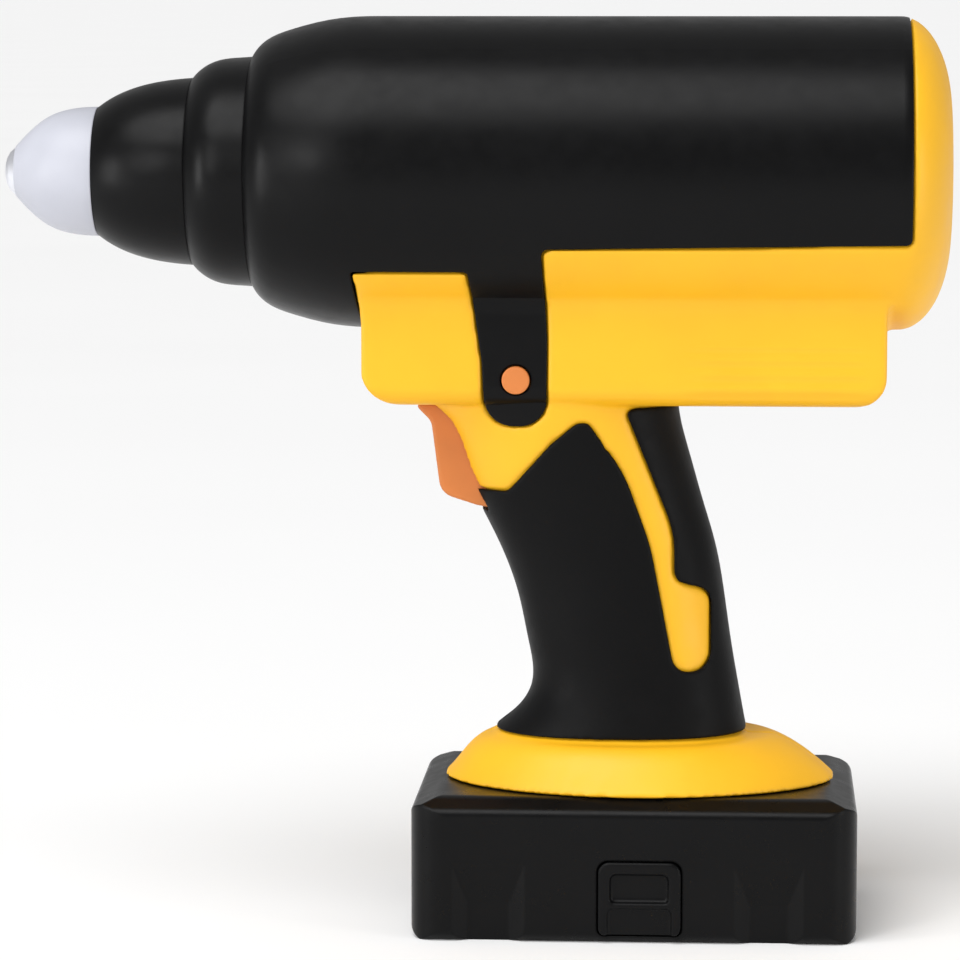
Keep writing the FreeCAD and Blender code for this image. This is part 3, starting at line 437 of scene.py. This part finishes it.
@dataclass
class Mouldings:
    """Moulded pieces whose edges are rounded all over, each in place of its sharp CAD node.

    Sizes are in millimetres. A larger voxel or more smoothing passes give rounder edges.
    """

    paints: Paints
    nodes: tuple[str, ...] = ()
    voxel: float = 0.5
    passes: int = 5
    smoothing: float = 0.5
    split_margin: float = 0.0

    def build(self) -> None:
        """Makes and dresses every piece."""
        for node in self.nodes:
            piece = self.copy_of_node(node)
            self.round_edges(piece)
            slot = slot_of_node(node)
            piece.data.materials.clear()
            piece.data.materials.append(self.paints.of_slot(slot))
            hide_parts(node)
            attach(piece, body_of_node(node))
            log.info("%s rounded: %d faces", node, len(piece.data.polygons))

    def copy_of_node(self, node: str) -> bpy.types.Object:
        """Copies a CAD node as one closed mesh.

        Args:
            node: The CAD node.

        Returns:
            The copy, in the scene.
        """
        mesh = bpy.data.meshes.new(node + "_moulding")
        bm = bmesh.new()
        bm.from_mesh(frame["nodes"][node].data)
        bmesh.ops.remove_doubles(bm, verts=bm.verts, dist=MERGE_DISTANCE)
        bm.to_mesh(mesh)
        bm.free()
        piece = bpy.data.objects.new(node + "_moulding", mesh)
        bpy.context.collection.objects.link(piece)
        return piece

    def round_edges(self, piece: bpy.types.Object) -> None:
        """Meshes a piece evenly and smooths it.

        Args:
            piece: The piece, changed in place.
        """
        even = piece.modifiers.new("even", "REMESH")
        even.mode = "VOXEL"
        even.voxel_size = self.voxel * MM * 1.0
        even.use_smooth_shade = True
        apply_modifiers(piece)
        smooth = piece.modifiers.new("round", "SMOOTH")
        smooth.factor = self.smoothing
        smooth.iterations = self.passes
        if self.split_margin > 0:
            smooth.vertex_group = self.off_split(piece).name
        apply_modifiers(piece)

    def off_split(self, piece: bpy.types.Object) -> bpy.types.VertexGroup:
        """Groups the points off the tool's middle plane, so that the others keep the joint closed.

        Args:
            piece: One of two halves that meet on the plane.

        Returns:
            The group.
        """
        group = piece.vertex_groups.new(name="off_split")
        free = [point.index for point in piece.data.vertices if abs(point.co.y) > self.split_margin * MM]
        group.add(free, 1.0, "REPLACE")
        return group


@dataclass
class HousingHalves(Mouldings):
    """The yellow shells."""

    nodes: tuple[str, ...] = ("left_housing", "right_housing")
    voxel: float = 0.84
    split_margin: float = 0.6


@dataclass
class GripOvermoulds(Mouldings):
    """The black rubber over the grip."""

    nodes: tuple[str, ...] = ("left_grip_overmould", "right_grip_overmould")
    passes: int = 10
    split_margin: float = 0.6


@dataclass
class Trigger(Mouldings):
    """The orange trigger."""

    nodes: tuple[str, ...] = ("trigger",)
    passes: int = 7


@dataclass
class PowerButton(Mouldings):
    """The orange button on the cover's tongue."""

    nodes: tuple[str, ...] = ("power_button",)
    voxel: float = 0.3


@dataclass
class BatteryLatches(Mouldings):
    """The release latches on the battery's long sides."""

    nodes: tuple[str, ...] = ("latch_left", "latch_right")
    voxel: float = 0.4
    passes: int = 6


@dataclass(frozen=True)
class Lamp:
    """A rectangular studio light, in metres and watts."""

    name: str
    place: Place
    size: Span
    power: float

    def build(self, target: Place) -> None:
        """Adds the light, aimed at a point.

        Args:
            target: The point.
        """
        light = bpy.data.lights.new(self.name, "AREA")
        light.shape = "RECTANGLE"
        light.size, light.size_y = self.size
        light.energy = self.power
        holder = bpy.data.objects.new(self.name, light)
        holder.location = self.place
        holder.rotation_euler = facing(Vector(target) - Vector(self.place))
        bpy.context.collection.objects.link(holder)


def facing(direction: Vector) -> Euler:
    """The turn that points a lamp or camera along a direction."""
    return direction.to_track_quat("-Z", "Y").to_euler()


@dataclass
class Studio:
    """Floor, lights and camera, in metres and degrees; the lens and the floor's clouds in millimetres."""

    target: Place = (0.0012, 0.0, 0.1181)
    distance: float = 1.180
    azimuth: float = 3.4
    elevation: float = 6.5
    lens: float = 164.0
    near_limit: float = 0.01
    floor_half: float = 120.0
    floor_shades: Span = (0.94, 0.97)
    floor_rough: float = 0.9
    floor_cloud: float = 400.0
    air_light: float = 0.42
    sky_light: float = 2.1
    sky_spread: float = 45.0
    sky_direction: Place = (0.27, 0.45, -0.85)
    lamps: tuple[Lamp, ...] = (
        Lamp("key", (-0.75, -1.2, 0.55), (0.35, 0.5), 3.5),
        Lamp("left strip", (-1.1, -0.65, 0.25), (0.22, 0.5), 3.6),
        Lamp("right strip", (1.1, -0.65, 0.25), (0.22, 0.5), 3.0),
    )

    def build(self) -> None:
        """Makes the whole studio."""
        self.floor()
        self.air()
        for lamp in self.lamps:
            lamp.build(self.target)
        self.skylight()
        self.camera()
        self.plain_colour()

    def floor(self) -> None:
        """A flat pale floor that reaches the horizon."""
        mesh = bpy.data.meshes.new("floor")
        bm = bmesh.new()
        bmesh.ops.create_grid(bm, x_segments=1, y_segments=1, size=self.floor_half)
        bm.to_mesh(mesh)
        bm.free()
        floor = bpy.data.objects.new("floor", mesh)
        bpy.context.collection.objects.link(floor)
        shader = Shader("pale_floor")
        dark, light = (rgba((shade,) * 3) for shade in self.floor_shades)
        cloud = shader.noise(self.floor_cloud)
        shader.dress(Base_Color=shader.blend(cloud, dark, light), Roughness=self.floor_rough)
        mesh.materials.append(shader.material)

    def air(self) -> None:
        """Even white light from all round."""
        world = bpy.data.worlds.new("studio_air")
        world.use_nodes = True
        background = world.node_tree.nodes["Background"]
        background.inputs["Color"].default_value = (1.0, 1.0, 1.0, 1.0)
        background.inputs["Strength"].default_value = self.air_light
        bpy.context.scene.world = world

    def skylight(self) -> None:
        """A wide, soft light from above, the front and the left."""
        sun = bpy.data.lights.new("skylight", "SUN")
        sun.energy = self.sky_light
        sun.angle = math.radians(self.sky_spread)
        holder = bpy.data.objects.new("skylight", sun)
        holder.rotation_euler = facing(Vector(self.sky_direction))
        bpy.context.collection.objects.link(holder)

    def camera(self) -> None:
        """The main camera."""
        turn, rise = math.radians(self.azimuth), math.radians(self.elevation)
        level = math.cos(rise)
        back = Vector((math.sin(turn) * level, -math.cos(turn) * level, math.sin(rise)))
        data = bpy.data.cameras.new("camera")
        data.lens = self.lens
        data.clip_start = self.near_limit
        camera = bpy.data.objects.new("camera", data)
        camera.location = Vector(self.target) + back * self.distance
        camera.rotation_euler = facing(-back)
        bpy.context.collection.objects.link(camera)
        bpy.context.scene.camera = camera

    def plain_colour(self) -> None:
        """Shows colours as they are, so that bright plastic keeps its hue."""
        bpy.context.scene.view_settings.view_transform = "Standard"


def main() -> None:
    """Builds the tool's looks and its studio."""
    logging.basicConfig(level=logging.INFO, format="%(message)s")
    paints = Paints()
    parts = (CadFinishes(paints), HousingHalves(paints), GripOvermoulds(paints), Trigger(paints),
             PowerButton(paints), BatteryLatches(paints), Studio())
    for part in parts:
        part.build()
        log.info("%s done", type(part).__name__)


if __name__ == "__main__":
    main()
